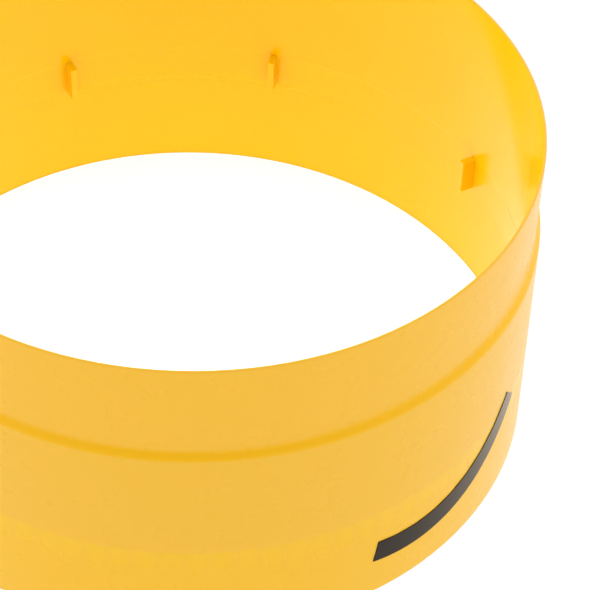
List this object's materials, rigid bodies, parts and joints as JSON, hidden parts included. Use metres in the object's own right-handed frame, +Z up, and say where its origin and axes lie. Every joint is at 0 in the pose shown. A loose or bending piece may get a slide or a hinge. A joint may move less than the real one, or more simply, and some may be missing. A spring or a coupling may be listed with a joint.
{
  "type": "retractable bollard",
  "caption": "In-ground retractable bollard: an open yellow ring head on a gas-sprung post that sinks into a buried casing and locks with two radial bolts.",
  "frame": {"origin": "centre of the ground frame's top face, at ground level, on the column's axis", "axes": "+Z up along the column's travel, -Y the front, towards which the lock and handle are offset"},
  "size_m": [0.4, 0.4, 1.536],
  "materials": {
    "ring_plastic": "glossy, slightly translucent",
    "mark_film": "semi-gloss black film",
    "white_coating": "fine matt powder coat",
    "yellow_coating": "satin powder coat",
    "reflective_film": "black retroreflective film",
    "galvanised_steel": "hot-dip galvanised",
    "zinc_fastener": "zinc plated",
    "stainless": "brushed stainless",
    "lock_brass": "satin",
    "lock_chrome": "satin chrome",
    "spring_paint": "semi-gloss black",
    "rod_chrome": "hard chrome",
    "piston_brass": "turned",
    "pad_plastic": "natural polyethylene",
    "rubber": "moulded",
    "drain_plastic": "pipe plastic"
  },
  "bodies": {
    "casing": {"ground_frame": "galvanised_steel", "frame_screws": "zinc_fastener", "casing_tube": "galvanised_steel", "casing_flange": "galvanised_steel", "wiper_ring": "rubber", "base_flange": "galvanised_steel", "base_gasket": "rubber", "base_plate": "galvanised_steel", "base_bolts": "zinc_fastener", "drain_pipe": "drain_plastic", "landing_buffer": "rubber", "anchor_bars": "galvanised_steel", "bolt_keepers": "galvanised_steel", "spring_rod": "rod_chrome", "spring_piston": "piston_brass", "rod_bracket": "galvanised_steel", "rod_pin": "zinc_fastener"},
    "column": {"head_ring": "ring_plastic", "arc_marking": "mark_film", "head_deck": "white_coating", "post_flange": "yellow_coating", "deck_bolts": "zinc_fastener", "post_tube": "yellow_coating", "post_gussets": "yellow_coating", "reflective_band_upper": "reflective_film", "reflective_band_lower": "reflective_film", "cover_disc": "galvanised_steel", "guide_disc": "galvanised_steel", "guide_pads_upper": "pad_plastic", "guide_pads_lower": "pad_plastic", "bearing_plate": "galvanised_steel", "lock_barrel": "lock_chrome", "bolt_guides": "galvanised_steel", "cap_screw": "zinc_fastener", "handle_brackets": "stainless", "handle_screws": "zinc_fastener", "spring_bracket": "galvanised_steel", "spring_pin": "zinc_fastener", "spring_cylinder": "spring_paint", "spring_gland": "piston_brass"},
    "lock": {"lock_plug": "lock_brass", "lock_shaft": "stainless", "lock_cam": "stainless"},
    "right_bolt": {"bolt_right": "stainless"},
    "left_bolt": {"bolt_left": "stainless"},
    "cap": {"dust_cap": "lock_chrome"},
    "handle": {"lifting_handle": "stainless"}
  },
  "joints": [
    {"name": "column_slide", "type": "slide", "parent": "casing", "child": "column", "axis": [0, 0, 1], "range_m": [-0.602, 0], "stiffness_N_per_m": 200, "springref_m": 2},
    {"name": "lock_turn", "type": "hinge", "parent": "column", "child": "lock", "pos_m": [0, -0.038, 0.4587], "axis": [0, 0, 1], "range_deg": [0, 90]},
    {"name": "right_bolt_slide", "type": "slide", "parent": "column", "child": "right_bolt", "axis": [1, 0, 0], "range_m": [0, 0.008]},
    {"name": "left_bolt_slide", "type": "slide", "parent": "column", "child": "left_bolt", "axis": [-1, 0, 0], "range_m": [0, 0.008]},
    {"name": "dust_cap_swing", "type": "hinge", "parent": "column", "child": "cap", "pos_m": [0.026, -0.038, 0.462], "axis": [0, 0, 1], "range_deg": [-110, 0]},
    {"name": "handle_swing", "type": "hinge", "parent": "column", "child": "handle", "pos_m": [0, -0.062, 0.4677], "axis": [-1, 0, 0], "range_deg": [0, 95]}
  ],
  "couplings": [
    {"joint": "right_bolt_slide", "follows": "lock_turn", "m_per_rad": 0.005093},
    {"joint": "left_bolt_slide", "follows": "lock_turn", "m_per_rad": 0.005093}
  ]
}
